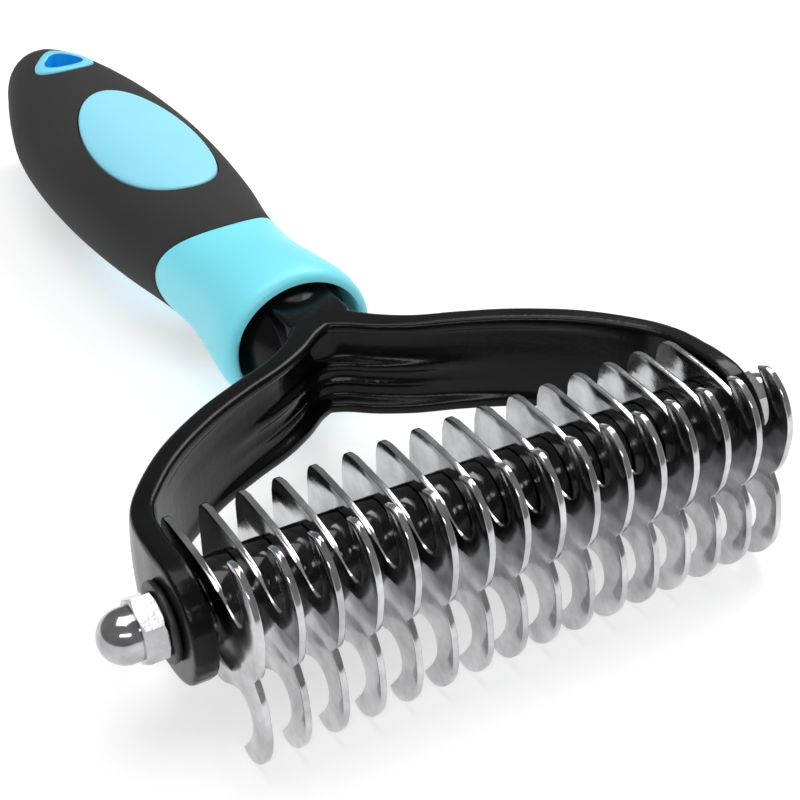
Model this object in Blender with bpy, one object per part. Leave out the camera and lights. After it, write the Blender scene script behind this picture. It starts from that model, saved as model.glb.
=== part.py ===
"""Two-sided undercoat rake: sixteen hooked steel blades on a cross rod, held in a cast yoke with a gripped handle.

Frame: X runs along the cross rod, +Y from the blades to the handle, +Z up. The origin is under the middle of the
object, on the level of the lowest hooks. Lengths are in metres. Shapes are drawn about the rod's axis, and one
empty at the rod's middle carries every piece to its place.
"""
import math

import bmesh
import bpy
from mathutils import Vector

# Blades
BLADE_COUNT = 16
BLADE_PITCH = 0.0050
BLADE_THICKNESS = 0.0009
BLADE_FRONT = 0.0172        # rod axis to the front of the hooks
BLADE_REAR = 0.0100         # rod axis to the straight rear edge
BLADE_BODY_HALF = 0.0083    # half height of the body behind the hooks
BLADE_HALF_HEIGHT = 0.0147  # rod axis to the top of a hook

# Rod, spacers and end fittings
ROD_RADIUS = 0.0025
ROD_CLEARANCE = 0.0002      # radial gap of everything strung on the rod
SPACER_RADIUS = 0.00575
STACK_GAP = 0.00015         # gap at each face of the stack
END_RING_THICKNESS = 0.0007
END_RING_RADIUS = 0.0050
WASHER_RADIUS = 0.0052
WASHER_THICKNESS = 0.0008
NUT_ACROSS_FLATS = 0.0080
NUT_HEX_THICKNESS = 0.0030
NUT_HEIGHT = 0.0075
NUT_DOME_RADIUS = 0.0037
NUT_TURN = math.radians(24)
NUT_WALL = 0.0020           # metal left past the blind bore

# Yoke
ARM_THICKNESS = 0.0032
YOKE_HALF_HEIGHT = 0.00775
BOSS_RADIUS = 0.0084
BOW_DEPTH = 0.0374          # rod axis to the inner point of the bow
BOW_WALL = 0.0051           # wall at the middle of the bow
SIDE_BULGE = 0.0007
FLANGE = 0.0017
CHANNEL_DEPTH = 0.0013
RIB_HEIGHT = 0.0010
WEB_HALF_WIDTH = 0.0050
NECK_RADIUS = 0.0096
NECK_END = 0.0545           # rod axis to the neck's shoulder
TANG_RADIUS = 0.0050
TANG_LENGTH = 0.0420

# Handle
COLLAR_START = 0.0465       # rod axis to the collar's front face
COLLAR_END = 0.0755         # joint between collar and grip, at the sides
JOINT_BOW = 0.0072          # how far the joint runs forward on top and underneath
HANDLE_END = 0.1605
LIP_RADIUS = 0.0122
WAIST_RADIUS = 0.0106
GRIP_HALF_WIDTH = 0.0149
GRIP_HALF_HEIGHT = 0.0119
GRIP_WALL = 0.0032
CORE_GAP = 0.0003
PAD_CENTER = 0.1020
PAD_HALF_LENGTH = 0.0200
PAD_HALF_WIDTH = 0.0092
PAD_DEPTH = 0.0014
PAD_PROUD = 0.0003
PAD_GAP = 0.0003
EYELET_CENTER = 0.1404
EYELET_HOLE_RADIUS = 0.0035
EYELET_WALL = 0.0019
EYELET_TAIL = 0.0049        # how far the hole's point lies from its round end's centre
EYELET_PROUD = 0.0003

# Tessellation
ROUND_STEPS = 28
SLEEVE_STEPS = 18
HOLE_STEPS = 12
CURVE_STEPS = 2

# Places that follow from the sizes
STACK_HALF = BLADE_PITCH * (BLADE_COUNT - 1) / 2
STACK_FACE = STACK_HALF + BLADE_THICKNESS / 2
ARM_INNER = STACK_FACE + STACK_GAP + END_RING_THICKNESS + STACK_GAP
ARM_OUTER = ARM_INNER + ARM_THICKNESS
WASHER_START = ARM_OUTER + STACK_GAP
NUT_START = WASHER_START + WASHER_THICKNESS + STACK_GAP
ROD_HALF = NUT_START + NUT_HEIGHT - NUT_WALL - STACK_GAP
SPACER_LENGTH = BLADE_PITCH - BLADE_THICKNESS - 2 * STACK_GAP
ROD_Y = -(HANDLE_END - BLADE_FRONT) / 2
ROD_Z = BLADE_HALF_HEIGHT


def clear_scene():
    for item in list(bpy.data.objects):
        bpy.data.objects.remove(item, do_unlink=True)


def make_material(name, color, roughness, metallic=0.0):
    material = bpy.data.materials.new(name)
    material.use_nodes = True
    shader = material.node_tree.nodes["Principled BSDF"]
    shader.inputs["Base Color"].default_value = (*color, 1.0)
    shader.inputs["Roughness"].default_value = roughness
    shader.inputs["Metallic"].default_value = metallic
    return material


def make_object(name, mesh_builder, material, parent, smooth_angle=None, location=(0, 0, 0)):
    """One object from a bmesh, or from a mesh that it shares with another object."""
    if isinstance(mesh_builder, bmesh.types.BMesh):
        bmesh.ops.recalc_face_normals(mesh_builder, faces=mesh_builder.faces)
        mesh = bpy.data.meshes.new(name)
        mesh_builder.to_mesh(mesh)
        mesh_builder.free()
        mesh.materials.append(material)
    else:
        mesh = mesh_builder
    if smooth_angle:
        mesh.shade_smooth()
        mesh.set_sharp_from_angle(angle=math.radians(smooth_angle))
    item = bpy.data.objects.new(name, mesh)
    item.location = location
    item.parent = parent
    bpy.context.scene.collection.objects.link(item)
    return item


def smooth_path(points, steps):
    """Catmull-Rom curve through the points, with the given number of steps between each pair."""
    padded = [points[0] * 2 - points[1], *points, points[-1] * 2 - points[-2]]
    path = []
    for before, start, end, after in zip(padded, padded[1:], padded[2:], padded[3:]):
        for step in range(steps):
            t = step / steps
            path.append(0.5 * (2 * start + (end - before) * t
                               + (2 * before - 5 * start + 4 * end - after) * t ** 2
                               + (3 * start - before - 3 * end + after) * t ** 3))
    path.append(points[-1].copy())
    return path


def blend(start, end, value):
    """0 at start and below, 1 at end and above, smooth between them."""
    t = min(1.0, max(0.0, (value - start) / (end - start)))
    return t * t * (3 - 2 * t)


def add_loop(bm, points, closed=True):
    """A loop of vertices and edges, or an open chain of them."""
    verts = [bm.verts.new(point) for point in points]
    ends = verts[1:] + verts[:1] if closed else verts[1:]
    return [bm.edges.new((a, b)) for a, b in zip(verts, ends)]


def loft(rings, closed=False):
    """A solid through rings of equal point counts, capped at both ends or joined end to end."""
    bm = bmesh.new()
    rows = [[bm.verts.new(point) for point in ring] for ring in rings]
    pairs = list(zip(rows, rows[1:]))
    if closed:
        pairs.append((rows[-1], rows[0]))
    for near, far in pairs:
        for index in range(len(near)):
            after = (index + 1) % len(near)
            bm.faces.new((near[index], near[after], far[after], far[index]))
    if not closed:
        bm.faces.new(rows[0])
        bm.faces.new(rows[-1])
    return bm


def turned(profile, steps, axis):
    """A solid of revolution about X or Y from a profile of (distance along, radius) points.

    A profile that starts and ends on the axis stays open there.
    """
    bm = bmesh.new()
    closed = profile[0][1] > 0 or profile[-1][1] > 0
    if axis == "X":
        points = [Vector((along, radius, 0)) for along, radius in profile]
        direction = (1, 0, 0)
    else:
        points = [Vector((radius, along, 0)) for along, radius in profile]
        direction = (0, 1, 0)
    edges = add_loop(bm, points, closed)
    bmesh.ops.spin(bm, geom=edges, cent=(0, 0, 0), axis=direction, angle=math.tau, steps=steps, use_merge=True)
    bmesh.ops.remove_doubles(bm, verts=bm.verts, dist=1e-7)
    bmesh.ops.dissolve_degenerate(bm, dist=1e-7, edges=bm.edges)
    return bm


def sleeve(inner, outer, length, steps, axis="X"):
    half = length / 2
    return turned([(-half, inner), (-half, outer), (half, outer), (half, inner)], steps, axis)


def apply_boolean(target, cutter, operation):
    """Boolean the cutter into the target and drop the cutter, as one finished mesh."""
    modifier = target.modifiers.new(operation.lower(), "BOOLEAN")
    modifier.object = cutter
    modifier.operation = operation
    modifier.solver = "EXACT"
    bpy.context.view_layer.update()
    graph = bpy.context.evaluated_depsgraph_get()
    result = bpy.data.meshes.new_from_object(target.evaluated_get(graph))
    target.modifiers.clear()
    target.data = result
    bpy.data.objects.remove(cutter, do_unlink=True)


def bore_radius():
    return ROD_RADIUS + ROD_CLEARANCE


# Blades

def blade_outline():
    """Half of the symmetric blade profile, as (y, z), from the front waist over the hook to the rear edge."""
    front = BLADE_FRONT
    top = BLADE_HALF_HEIGHT
    body = BLADE_BODY_HALF
    rear = BLADE_REAR
    hook_back = [
        Vector((-0.872 * front, 0.0)),
        Vector((-0.950 * front, 0.150 * top)),
        Vector((-0.995 * front, 0.390 * top)),
        Vector((-0.990 * front, 0.590 * top)),
        Vector((-0.925 * front, 0.790 * top)),
        Vector((-0.815 * front, 0.930 * top)),
        Vector((-0.690 * front, top)),
        Vector((-0.590 * front, 0.965 * top)),
    ]
    hook_inside = [
        Vector((-0.590 * front, 0.965 * top)),
        Vector((-0.655 * front, 0.860 * top)),
        Vector((-0.722 * front, 0.735 * top)),
        Vector((-0.768 * front, 0.590 * top)),
        Vector((-0.752 * front, 0.465 * top)),
        Vector((-0.690 * front, 0.390 * top)),
        Vector((-0.610 * front, 0.372 * top)),
        Vector((-0.500 * front, 0.405 * top)),
        Vector((-0.340 * front, 0.880 * body)),
        Vector((-0.120 * front, 0.975 * body)),
        Vector((0.100 * front, body)),
    ]
    corner = 0.30 * rear
    tail = [Vector((rear - corner + corner * math.sin(angle), body - corner + corner * math.cos(angle)))
            for angle in (0.0, math.pi / 6, math.pi / 3, math.pi / 2)]
    return smooth_path(hook_back, 2)[:-1] + smooth_path(hook_inside, 1) + tail


def blade_shape():
    upper = blade_outline()
    lower = [Vector((point.x, -point.y)) for point in reversed(upper[1:])]
    bm = bmesh.new()
    left = -BLADE_THICKNESS / 2
    outline = add_loop(bm, [(left, point.x, point.y) for point in upper + lower])
    radius = bore_radius()
    angles = [math.tau * step / HOLE_STEPS for step in range(HOLE_STEPS)]
    hole = add_loop(bm, [(left, radius * math.cos(angle), radius * math.sin(angle)) for angle in angles])
    bmesh.ops.triangle_fill(bm, edges=outline + hole, use_beauty=True)
    result = bmesh.ops.extrude_face_region(bm, geom=bm.faces[:])
    moved = [item for item in result["geom"] if isinstance(item, bmesh.types.BMVert)]
    bmesh.ops.translate(bm, verts=moved, vec=(BLADE_THICKNESS, 0, 0))
    return bm


def make_blades(parent):
    steel = make_material("polished_blade_steel", (0.78, 0.79, 0.80), 0.16, 1.0)
    first = make_object("blade_01", blade_shape(), steel, parent, 35, (-STACK_HALF, 0, 0))
    for index in range(1, BLADE_COUNT):
        place = (index * BLADE_PITCH - STACK_HALF, 0, 0)
        make_object(f"blade_{index + 1:02d}", first.data, steel, parent, None, place)


def make_spacers(parent):
    black = make_material("gloss_black_spacer", (0.02, 0.02, 0.022), 0.18)
    shape = sleeve(bore_radius(), SPACER_RADIUS, SPACER_LENGTH, SLEEVE_STEPS)
    first = make_object("spacer_01", shape, black, parent, 40, (BLADE_PITCH / 2 - STACK_HALF, 0, 0))
    for index in range(1, BLADE_COUNT - 1):
        place = ((index + 0.5) * BLADE_PITCH - STACK_HALF, 0, 0)
        make_object(f"spacer_{index + 1:02d}", first.data, black, parent, None, place)
    for side, name in ((-1, "end_ring_left"), (1, "end_ring_right")):
        ring = sleeve(bore_radius(), END_RING_RADIUS, END_RING_THICKNESS, SLEEVE_STEPS)
        place = (side * (STACK_FACE + STACK_GAP + END_RING_THICKNESS / 2), 0, 0)
        make_object(name, ring, black, parent, 40, place)


# Rod, washers and nuts

def make_rod(parent):
    steel = make_material("zinc_rod", (0.55, 0.56, 0.58), 0.35, 1.0)
    bevel = 0.2 * ROD_RADIUS
    profile = [(-ROD_HALF, 0), (-ROD_HALF, ROD_RADIUS - bevel), (bevel - ROD_HALF, ROD_RADIUS),
               (ROD_HALF - bevel, ROD_RADIUS), (ROD_HALF, ROD_RADIUS - bevel), (ROD_HALF, 0)]
    make_object("cross_rod", turned(profile, SLEEVE_STEPS, "X"), steel, parent, 40)


def cap_nut_shape():
    """Hexagon and dome in one, with a blind bore open at the seat. Local +X points outward from the seat."""
    corner = NUT_ACROSS_FLATS / 2 / math.cos(math.pi / 6)
    chamfer = corner - NUT_ACROSS_FLATS / 2
    steps = 18
    rings = []
    for along, limit in ((0.0, corner - chamfer), (0.5 * chamfer, corner), (NUT_HEX_THICKNESS - 0.5 * chamfer, corner),
                         (NUT_HEX_THICKNESS, corner - chamfer)):
        ring = []
        for step in range(steps):
            angle = math.tau * step / steps
            from_flat = (angle + math.pi / 6) % (math.pi / 3) - math.pi / 6
            flat_distance = NUT_ACROSS_FLATS / 2 / math.cos(from_flat - math.copysign(math.pi / 6, from_flat))
            radius = min(limit, flat_distance)
            turn = angle + NUT_TURN
            ring.append((along, radius * math.cos(turn), radius * math.sin(turn)))
        rings.append(ring)
    dome_center = NUT_HEIGHT - NUT_DOME_RADIUS
    levels = [(NUT_HEX_THICKNESS + 0.0001, NUT_DOME_RADIUS)]
    levels += [(dome_center + NUT_DOME_RADIUS * math.sin(angle), NUT_DOME_RADIUS * math.cos(angle))
               for angle in (math.radians(degrees) for degrees in (18, 36, 54, 72))]
    bore_end = NUT_HEIGHT - NUT_WALL
    levels += [(NUT_HEIGHT, 0.06 * NUT_DOME_RADIUS)]
    for along, radius in levels:
        rings.append([(along, radius * math.cos(math.tau * step / steps + NUT_TURN),
                       radius * math.sin(math.tau * step / steps + NUT_TURN)) for step in range(steps)])
    bore = [[(along, bore_radius() * math.cos(math.tau * step / steps + NUT_TURN),
              bore_radius() * math.sin(math.tau * step / steps + NUT_TURN)) for step in range(steps)]
            for along in (bore_end, 0.0)]
    return loft(rings[::-1] + bore[::-1])


def make_end_fittings(parent):
    black = make_material("black_washer", (0.015, 0.015, 0.016), 0.45)
    chrome = make_material("chrome_nut", (0.80, 0.81, 0.82), 0.10, 1.0)
    for side, name in ((-1, "left"), (1, "right")):
        ring = sleeve(bore_radius(), WASHER_RADIUS, WASHER_THICKNESS, SLEEVE_STEPS)
        make_object(f"washer_{name}", ring, black, parent, 40, (side * (WASHER_START + WASHER_THICKNESS / 2), 0, 0))
        nut = cap_nut_shape()
        if side < 0:
            bmesh.ops.scale(nut, vec=(-1, 1, 1), verts=nut.verts)
        make_object(f"cap_nut_{name}", nut, chrome, parent, 30, (side * NUT_START, 0, 0))


# Yoke

def bow_edges():
    """Matching points of the bow's inner and outer edges on the +X side, from the boss to the middle."""
    inner = ARM_INNER
    outer = ARM_OUTER
    depth = BOW_DEPTH
    wall = ARM_THICKNESS
    beside_blade = STACK_FACE + 1.6 * STACK_GAP
    inside = [(inner, 0.0), (inner, 0.5 * BLADE_REAR), (beside_blade, 1.06 * BLADE_REAR),
              (0.918 * inner, 0.39 * depth), (0.785 * inner, 0.535 * depth), (0.604 * inner, 0.665 * depth),
              (0.424 * inner, 0.757 * depth),
              (0.270 * inner, 0.823 * depth), (0.141 * inner, 0.900 * depth), (0.057 * inner, 0.968 * depth),
              (0.0, depth)]
    leans = [(1.0, 0.0), (1.0, 0.0), (0.97, 0.18), (0.83, 0.52), (0.62, 0.78), (0.47, 0.88), (0.44, 0.90),
             (0.44, 0.92), (0.60, 1.0), (0.60, 1.25), (0.0, BOW_WALL / wall)]
    edge_inside = [Vector((x, y)) for x, y in inside]
    edge_outside = [Vector((x + wall * lean_x, y + wall * lean_y)) for (x, y), (lean_x, lean_y) in zip(inside, leans)]
    edge_outside[0].x = outer
    return smooth_path(edge_inside, CURVE_STEPS), smooth_path(edge_outside, CURVE_STEPS)


def bow_section(inside, outside, half_height, channel, rib, bulge):
    """Closed section of the bow: flanges above and below, a shallow channel with a rib inside, a rounded outside."""
    across = (outside - inside).normalized()
    flange = FLANGE * half_height / YOKE_HALF_HEIGHT
    slope = 0.5 * flange

    def at(edge, offset, z):
        place = edge + across * offset
        return Vector((place.x, place.y, z))

    points = [at(inside, 0, half_height), at(outside, 0, half_height)]
    for share in (0.75, 0.45, 0.15, -0.15, -0.45, -0.75):
        points.append(at(outside, bulge * (1 - share ** 2), share * half_height))
    points += [at(outside, 0, -half_height), at(inside, 0, -half_height)]
    points += [at(inside, 0, flange - half_height), at(inside, channel, flange + slope - half_height)]
    points += [at(inside, channel, -1.6 * slope), at(inside, channel - rib, -0.7 * slope)]
    points += [at(inside, channel - rib, 0.7 * slope), at(inside, channel, 1.6 * slope)]
    points += [at(inside, channel, half_height - flange - slope), at(inside, 0, half_height - flange)]
    return points


def bow_shape():
    inside, outside = bow_edges()
    sections = []
    for angle in (80, 62, 45, 30, 15):
        drop = BOSS_RADIUS * math.sin(math.radians(angle))
        height = BOSS_RADIUS * math.cos(math.radians(angle))
        sections.append(bow_section(Vector((ARM_INNER, -drop)), Vector((ARM_OUTER, -drop)), height, 0, 0, 0))
    last = len(inside) - 1
    for index, (near, far) in enumerate(zip(inside, outside)):
        share = index / last
        height = BOSS_RADIUS + (YOKE_HALF_HEIGHT - BOSS_RADIUS) * blend(0.0, 0.25, share)
        channel = CHANNEL_DEPTH * blend(0.22, 0.55, share)
        rib = RIB_HEIGHT * blend(0.45, 0.80, share)
        bulge = SIDE_BULGE * blend(0.12, 0.3, share) * (1 - blend(0.75, 0.95, share))
        sections.append(bow_section(near, far, height, channel, rib, bulge))
    mirrored = [[Vector((-point.x, point.y, point.z)) for point in section] for section in reversed(sections[:-1])]
    return loft(sections + mirrored)


def neck_shape():
    """Round neck that grows out of the bow and steps down to the tang inside the handle."""
    start = BOW_DEPTH + 0.4 * BOW_WALL
    grow = NECK_END - start
    profile = [(start, 0), (start, 0.35 * NECK_RADIUS), (start + 0.16 * grow, 0.60 * NECK_RADIUS),
               (start + 0.34 * grow, 0.78 * NECK_RADIUS), (start + 0.54 * grow, 0.93 * NECK_RADIUS),
               (start + 0.74 * grow, NECK_RADIUS), (NECK_END, NECK_RADIUS), (NECK_END, TANG_RADIUS),
               (NECK_END + TANG_LENGTH, TANG_RADIUS), (NECK_END + TANG_LENGTH, 0)]
    return turned(profile, ROUND_STEPS, "Y")


def web_shape():
    """Flat web that carries the bow's upper and lower flanges into the neck."""
    start = BOW_DEPTH + 0.30 * BOW_WALL
    end = NECK_END - 0.30 * (NECK_END - start)
    half = min(WEB_HALF_WIDTH, 0.95 * math.sqrt(NECK_RADIUS ** 2 - YOKE_HALF_HEIGHT ** 2))
    outline = [(-0.3 * half, start), (0.3 * half, start), (half, start + 0.3 * half), (half, end), (-half, end),
               (-half, start + 0.3 * half)]
    height = YOKE_HALF_HEIGHT - 0.00002
    return loft([[Vector((x, y, level)) for x, y in outline] for level in (-height, height)])


def make_yoke(parent):
    black = make_material("black_enamel_yoke", (0.018, 0.018, 0.020), 0.30)
    yoke = make_object("yoke", bow_shape(), black, parent)
    for name, shape in (("neck", neck_shape()), ("web", web_shape())):
        piece = make_object(name, shape, black, parent)
        apply_boolean(yoke, piece, "UNION")
    length = 2 * ARM_OUTER + 4 * BOSS_RADIUS
    hole = make_object("rod_hole", turned([(-length / 2, 0), (-length / 2, bore_radius()), (length / 2, bore_radius()),
                                           (length / 2, 0)], SLEEVE_STEPS, "X"), black, parent)
    apply_boolean(yoke, hole, "DIFFERENCE")
    yoke.data.shade_smooth()
    yoke.data.set_sharp_from_angle(angle=math.radians(35))


# Handle

def handle_radii(along):
    """Half width and half height of the handle's outside at a distance from the rod axis."""
    length = HANDLE_END - COLLAR_START
    knots = [(0.0, 0.965 * LIP_RADIUS, 0.900 * LIP_RADIUS), (0.030, LIP_RADIUS, 0.940 * LIP_RADIUS),
             (0.090, 0.935 * LIP_RADIUS, 0.890 * LIP_RADIUS), (0.165, WAIST_RADIUS, 0.930 * WAIST_RADIUS),
             (0.255, 1.03 * WAIST_RADIUS, 0.975 * WAIST_RADIUS), (0.370, 0.890 * GRIP_HALF_WIDTH, 0.915 * GRIP_HALF_HEIGHT),
             (0.500, 0.980 * GRIP_HALF_WIDTH, GRIP_HALF_HEIGHT), (0.620, GRIP_HALF_WIDTH, GRIP_HALF_HEIGHT),
             (0.740, 0.930 * GRIP_HALF_WIDTH, 0.975 * GRIP_HALF_HEIGHT),
             (0.840, 0.750 * GRIP_HALF_WIDTH, 0.930 * GRIP_HALF_HEIGHT),
             (0.920, 0.560 * GRIP_HALF_WIDTH, 0.790 * GRIP_HALF_HEIGHT),
             (0.970, 0.400 * GRIP_HALF_WIDTH, 0.570 * GRIP_HALF_HEIGHT),
             (1.0, 0.08 * GRIP_HALF_WIDTH, 0.08 * GRIP_HALF_HEIGHT)]
    share = (along - COLLAR_START) / length
    share = min(1.0, max(0.0, share))
    path = [Vector(knot) for knot in knots]
    padded = [path[0] * 2 - path[1], *path, path[-1] * 2 - path[-2]]
    for before, start, end, after in zip(padded, padded[1:], padded[2:], padded[3:]):
        if share <= end.x:
            t = (share - start.x) / (end.x - start.x)
            slope_start = (end - before) / (end.x - before.x) * (end.x - start.x)
            slope_end = (after - start) / (after.x - start.x) * (end.x - start.x)
            value = ((2 * t ** 3 - 3 * t ** 2 + 1) * start + (t ** 3 - 2 * t ** 2 + t) * slope_start
                     + (3 * t ** 2 - 2 * t ** 3) * end + (t ** 3 - t ** 2) * slope_end)
            return value.y, value.z
    return path[-1].y, path[-1].z


def handle_ring(along, inset=0.0, bow=0.0, steps=ROUND_STEPS):
    """Ring of the handle's section. The bow moves it forward on top and underneath and leaves its sides in place."""
    ring = []
    for step in range(steps):
        angle = math.tau * step / steps
        place = along - bow * math.sin(angle) ** 2
        width, height = handle_radii(place)
        ring.append(Vector(((width - inset) * math.cos(angle), place, (height - inset) * math.sin(angle))))
    return ring


def round_ring(along, radius_x, radius_z, steps=ROUND_STEPS):
    return [Vector((radius_x * math.cos(math.tau * step / steps), along, radius_z * math.sin(math.tau * step / steps)))
            for step in range(steps)]


def core_radii(along):
    """Half width and half height of the hidden core, which the grip and the collar fit round."""
    width, height = handle_radii(along)
    return width - GRIP_WALL, height - GRIP_WALL


CORE_START = NECK_END + CORE_GAP
CORE_END = HANDLE_END - 0.0105


def core_stations():
    inner_front = COLLAR_END + 0.0015
    return [CORE_START, 0.5 * (CORE_START + inner_front), inner_front] + [
        inner_front + (CORE_END - inner_front) * share for share in (0.15, 0.3, 0.45, 0.6, 0.75, 0.88, 1.0)]


def make_core(parent):
    plastic = make_material("core_plastic", (0.10, 0.35, 0.55), 0.5)
    rings = []
    for along in core_stations():
        width, height = core_radii(along)
        rings.append(round_ring(along, width, height))
    socket = TANG_RADIUS + CORE_GAP
    depth = NECK_END + TANG_LENGTH + CORE_GAP
    front = [round_ring(depth, socket, socket), round_ring(CORE_START, socket, socket)]
    core = make_object("handle_core", loft(front + rings), plastic, parent, 40)
    return core


def make_collar(parent):
    blue = make_material("light_blue_collar", (0.18, 0.70, 1.0), 0.38)
    bow = JOINT_BOW
    length = COLLAR_END - COLLAR_START
    outside = [handle_ring(COLLAR_START, inset=0.0010)]
    outside += [handle_ring(COLLAR_START + length * share, 0.0, bow * blend(0.1, 1.0, share))
                for share in (0.035, 0.08, 0.15, 0.25, 0.36, 0.5, 0.64, 0.78, 0.9, 1.0)]
    inside = []
    for along in (COLLAR_END - bow, 0.5 * (COLLAR_END + NECK_END) - bow / 2, CORE_START):
        width, height = core_radii(along)
        inside.append(round_ring(along, width + CORE_GAP, height + CORE_GAP))
    mouth = NECK_RADIUS + CORE_GAP
    inner_width, inner_height = core_radii(COLLAR_END)
    shoulder = [ring_at_joint(COLLAR_END, bow, inner_width + CORE_GAP, inner_height + CORE_GAP)]
    front = [round_ring(NECK_END + 0.5 * CORE_GAP, mouth, mouth), round_ring(COLLAR_START, mouth, mouth)]
    make_object("handle_collar", loft(outside + shoulder + inside[1:] + front, closed=True), blue, parent, 40)


def ring_at_joint(along, bow, radius_x, radius_z, steps=ROUND_STEPS):
    """Inner ring of the bowed joint face between the collar and the grip."""
    ring = round_ring(along, radius_x, radius_z, steps)
    for step, point in enumerate(ring):
        point.y -= bow * math.sin(math.tau * step / steps) ** 2
    return ring


def make_grip(parent):
    rubber = make_material("dark_grey_rubber", (0.048, 0.048, 0.050), 0.75)
    start = COLLAR_END + CORE_GAP
    length = HANDLE_END - start
    outside = [handle_ring(start + length * share, 0.0, JOINT_BOW * (1 - blend(0.0, 0.35, share)))
               for share in (0.0, 0.06, 0.14, 0.23, 0.32, 0.41, 0.50, 0.59, 0.68, 0.76, 0.83, 0.89, 0.94, 0.975, 1.0)]
    inside = []
    for along in reversed([place for place in core_stations() if place > start + JOINT_BOW]):
        width, height = core_radii(along)
        inside.append(round_ring(along, width + CORE_GAP, height + CORE_GAP))
    inside[0] = round_ring(CORE_END + CORE_GAP, inside[0][0].x, inside[0][ROUND_STEPS // 4].z)
    width, height = core_radii(start)
    mouth = [ring_at_joint(start, JOINT_BOW, width + CORE_GAP, height + CORE_GAP)]
    rings = list(reversed(outside)) + mouth + list(reversed(inside))
    grip = make_object("handle_grip", loft(rings), rubber, parent)
    for side in (1, -1):
        apply_boolean(grip, make_object("pad_pocket", pad_shape(side, PAD_GAP, True), rubber, parent), "DIFFERENCE")
    return grip


# Thumb pads

def grip_height(x, along):
    """Height of the handle's surface above its axis at a place in plan."""
    width, height = handle_radii(along)
    return height * math.sqrt(max(0.0, 1 - (x / width) ** 2))


def pad_shape(side, grow, pocket):
    """Oval pad that follows the grip's surface, or the pocket it lies in."""
    half_length = PAD_HALF_LENGTH + grow
    half_width = PAD_HALF_WIDTH + grow
    low = -PAD_DEPTH if pocket else PAD_GAP - PAD_DEPTH
    high = 5 * PAD_DEPTH if pocket else PAD_PROUD
    rings = []
    shares = (0.05, 0.4, 0.7, 1.0)
    edge = 1.0 if pocket else 0.6
    levels = [(low, share) for share in shares] + [(high if pocket else edge * high, 1.0)]
    levels += [(high, 0.94 if not pocket else 0.97)] + [(high, share) for share in (0.7, 0.4, 0.05)]
    for level, share in levels:
        ring = []
        for step in range(ROUND_STEPS):
            angle = math.tau * step / ROUND_STEPS
            x = share * half_width * math.cos(angle)
            y = PAD_CENTER + share * half_length * math.sin(angle)
            ring.append(Vector((x, y, side * (grip_height(x, y) + level))))
        rings.append(ring)
    return loft(rings)


def make_pads(parent):
    blue = make_material("light_blue_pad", (0.20, 0.72, 1.0), 0.55)
    for side, name in ((1, "thumb_pad_top"), (-1, "thumb_pad_bottom")):
        make_object(name, pad_shape(side, 0.0, False), blue, parent, 40)


# Hang eyelet

def teardrop(radius, tail, steps=20):
    """Teardrop outline: a round end and a point that lies ahead of it along +Y."""
    touch = math.acos(radius / tail)
    points = [(0.0, tail)]
    for step in range(steps - 1):
        angle = touch + (math.tau - 2 * touch) * step / (steps - 2)
        points.append((-radius * math.sin(angle), radius * math.cos(angle)))
    return points


def eyelet_ring(radius, tail, level):
    return [Vector((x, EYELET_CENTER + y, level)) for x, y in teardrop(radius, tail)]


def eyelet_face(radius, tail, side):
    """Edge of the eyelet's upper or lower face, just proud of the grip's skin all round."""
    return [Vector((x, EYELET_CENTER + y, side * (grip_height(x, EYELET_CENTER + y) + EYELET_PROUD)))
            for x, y in teardrop(radius, tail)]


def make_eyelet(parent, core, grip):
    blue = make_material("light_blue_eyelet", (0.16, 0.68, 1.0), 0.40)
    outer = EYELET_HOLE_RADIUS + EYELET_WALL
    outer_tail = EYELET_TAIL + 1.45 * EYELET_WALL
    far_y = EYELET_CENTER - outer
    top = grip_height(0.0, far_y) + EYELET_PROUD
    for body in (core, grip):
        hole = [eyelet_ring(outer + CORE_GAP, outer_tail + CORE_GAP, level) for level in (-2 * top, 2 * top)]
        apply_boolean(body, make_object("eyelet_hole", loft(hole), blue, parent), "DIFFERENCE")
    rings = [eyelet_face(outer, outer_tail, side) for side in (-1, 1)]
    rings += [eyelet_face(EYELET_HOLE_RADIUS, EYELET_TAIL, side) for side in (1, -1)]
    make_object("hang_eyelet", loft(rings, closed=True), blue, parent, 35)


clear_scene()
rod_middle = bpy.data.objects.new("rod_middle", None)
rod_middle.location = (0, ROD_Y, ROD_Z)
bpy.context.scene.collection.objects.link(rod_middle)
make_yoke(rod_middle)
make_rod(rod_middle)
make_blades(rod_middle)
make_spacers(rod_middle)
make_end_fittings(rod_middle)
handle_core = make_core(rod_middle)
make_collar(rod_middle)
handle_grip = make_grip(rod_middle)
make_pads(rod_middle)
make_eyelet(rod_middle, handle_core, handle_grip)
for shell in (handle_core, handle_grip):
    shell.data.shade_smooth()
    shell.data.set_sharp_from_angle(angle=math.radians(40))
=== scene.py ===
import math

import bmesh
import bpy
from mathutils import Matrix, Vector


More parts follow.
